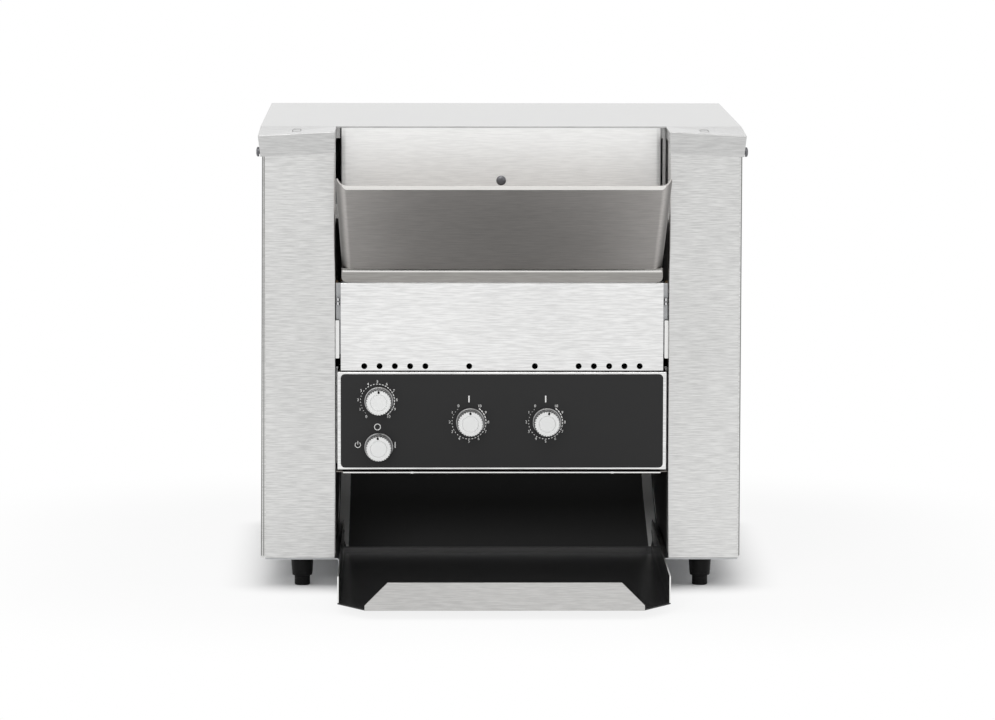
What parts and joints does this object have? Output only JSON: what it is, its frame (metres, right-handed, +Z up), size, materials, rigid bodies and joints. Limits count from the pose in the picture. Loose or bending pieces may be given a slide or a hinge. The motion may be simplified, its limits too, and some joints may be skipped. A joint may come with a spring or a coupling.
{
  "type": "conveyor toaster",
  "caption": "Countertop conveyor toaster in folded steel: loading ramp, wire belt between heaters, curved discharge chute, sliding front tray and a dial panel.",
  "frame": {"origin": "middle of the bounding box's footprint, on the counter", "axes": "+X to the right seen from the front, -Y towards the user, +Z up"},
  "size_m": [0.4738, 0.6376, 0.4445],
  "materials": {
    "brushed_steel": "fine brushed grain",
    "black_coat": "gloss black coating",
    "overlay": "satin film with printed dial marks",
    "knob_grey": "satin moulding",
    "black_plastic": "matte moulding",
    "plated_steel": "dull zinc plating",
    "dark_steel": "darkened by heat",
    "bronze": "machined",
    "cast_grey": "grey casting paint",
    "screw_steel": "bright pressed head"
  },
  "bodies": {
    "housing": {"top_cover": "brushed_steel", "left_side_panel": "brushed_steel", "right_side_panel": "brushed_steel", "left_front_cover": "brushed_steel", "right_front_cover": "brushed_steel", "rear_panel": "brushed_steel", "left_base_pan": "plated_steel", "right_base_pan": "plated_steel", "left_inner_wall": "plated_steel", "right_inner_wall": "plated_steel", "upper_front_panel": "brushed_steel", "lower_front_panel": "brushed_steel", "control_bezel": "brushed_steel", "control_overlay": "overlay", "speed_control": "plated_steel", "power_switch": "black_plastic", "top_heat_control": "black_plastic", "bottom_heat_control": "black_plastic", "lower_deck": "dark_steel", "discharge_chute": "black_coat", "left_toast_guide": "brushed_steel", "right_toast_guide": "brushed_steel", "conveyor_belt": "brushed_steel", "left_drive_bearing": "bronze", "right_drive_bearing": "bronze", "left_idler_bearing": "bronze", "right_idler_bearing": "bronze", "drive_motor": "cast_grey", "drive_chain": "dark_steel", "upper_front_element": "dark_steel", "upper_rear_element": "dark_steel", "lower_front_element": "dark_steel", "lower_rear_element": "dark_steel", "upper_reflector": "plated_steel", "lower_reflector": "plated_steel", "fan_frame": "black_plastic", "power_gland": "black_plastic", "front_left_foot": "black_plastic", "rear_left_foot": "black_plastic", "front_right_foot": "black_plastic", "rear_right_foot": "black_plastic", "left_lid_screw": "screw_steel", "right_lid_screw": "screw_steel", "upper_panel_screw": "screw_steel"},
    "speed_dial": {"speed_knob": "knob_grey"},
    "power_dial": {"power_knob": "knob_grey"},
    "top_heat_dial": {"top_heat_knob": "knob_grey"},
    "bottom_heat_dial": {"bottom_heat_knob": "knob_grey"},
    "drive_roller": {"drive_shaft": "plated_steel", "shaft_sprocket": "plated_steel"},
    "idler_roller": {"idler_shaft": "plated_steel"},
    "motor_output": {"motor_sprocket": "plated_steel"},
    "fan": {"fan_rotor": "black_plastic"},
    "tray": {"toast_tray": "black_coat", "tray_lip": "brushed_steel"},
    "ramp": {"loading_ramp": "brushed_steel"},
    "front_left_leveller": {"front_left_foot_insert": "black_plastic"},
    "front_right_leveller": {"front_right_foot_insert": "black_plastic"},
    "rear_left_leveller": {"rear_left_foot_insert": "black_plastic"},
    "rear_right_leveller": {"rear_right_foot_insert": "black_plastic"}
  },
  "joints": [
    {"name": "speed_turn", "type": "hinge", "parent": "housing", "child": "speed_dial", "pos_m": [-0.119, -0.1401, 0.184], "axis": [0, -1, 0], "range_deg": [-145, 145]},
    {"name": "power_turn", "type": "hinge", "parent": "housing", "child": "power_dial", "pos_m": [-0.119, -0.1401, 0.1392], "axis": [0, -1, 0], "range_deg": [-90, 90]},
    {"name": "top_heat_turn", "type": "hinge", "parent": "housing", "child": "top_heat_dial", "pos_m": [-0.0306, -0.1401, 0.1634], "axis": [0, -1, 0], "continuous": true},
    {"name": "bottom_heat_turn", "type": "hinge", "parent": "housing", "child": "bottom_heat_dial", "pos_m": [0.0435, -0.1401, 0.1634], "axis": [0, -1, 0], "continuous": true},
    {"name": "drive_turn", "type": "hinge", "parent": "housing", "child": "drive_roller", "pos_m": [0, 0.211, 0.265], "axis": [-1, 0, 0], "continuous": true},
    {"name": "idler_turn", "type": "hinge", "parent": "housing", "child": "idler_roller", "pos_m": [0, -0.094, 0.283], "axis": [-1, 0, 0], "continuous": true},
    {"name": "motor_turn", "type": "hinge", "parent": "housing", "child": "motor_output", "pos_m": [0.206, 0.183, 0.17], "axis": [-1, 0, 0], "continuous": true},
    {"name": "fan_turn", "type": "hinge", "parent": "housing", "child": "fan", "pos_m": [-0.1918, 0.288, 0.11], "axis": [0, 1, 0], "continuous": true},
    {"name": "tray_slide", "type": "slide", "parent": "housing", "child": "tray", "axis": [0, -1, 0], "range_m": [0, 0.2]},
    {"name": "ramp_lift", "type": "slide", "parent": "housing", "child": "ramp", "axis": [0, 0, 1], "range_m": [0, 0.03]},
    {"name": "front_left_level", "type": "slide", "parent": "housing", "child": "front_left_leveller", "axis": [0, 0, -1], "range_m": [0, 0.01]},
    {"name": "front_right_level", "type": "slide", "parent": "housing", "child": "front_right_leveller", "axis": [0, 0, -1], "range_m": [0, 0.01]},
    {"name": "rear_left_level", "type": "slide", "parent": "housing", "child": "rear_left_leveller", "axis": [0, 0, -1], "range_m": [0, 0.01]},
    {"name": "rear_right_level", "type": "slide", "parent": "housing", "child": "rear_right_leveller", "axis": [0, 0, -1], "range_m": [0, 0.01]}
  ],
  "couplings": [
    {"joint": "idler_turn", "follows": "drive_turn", "ratio": 1},
    {"joint": "motor_turn", "follows": "drive_turn", "ratio": 1.5}
  ]
}
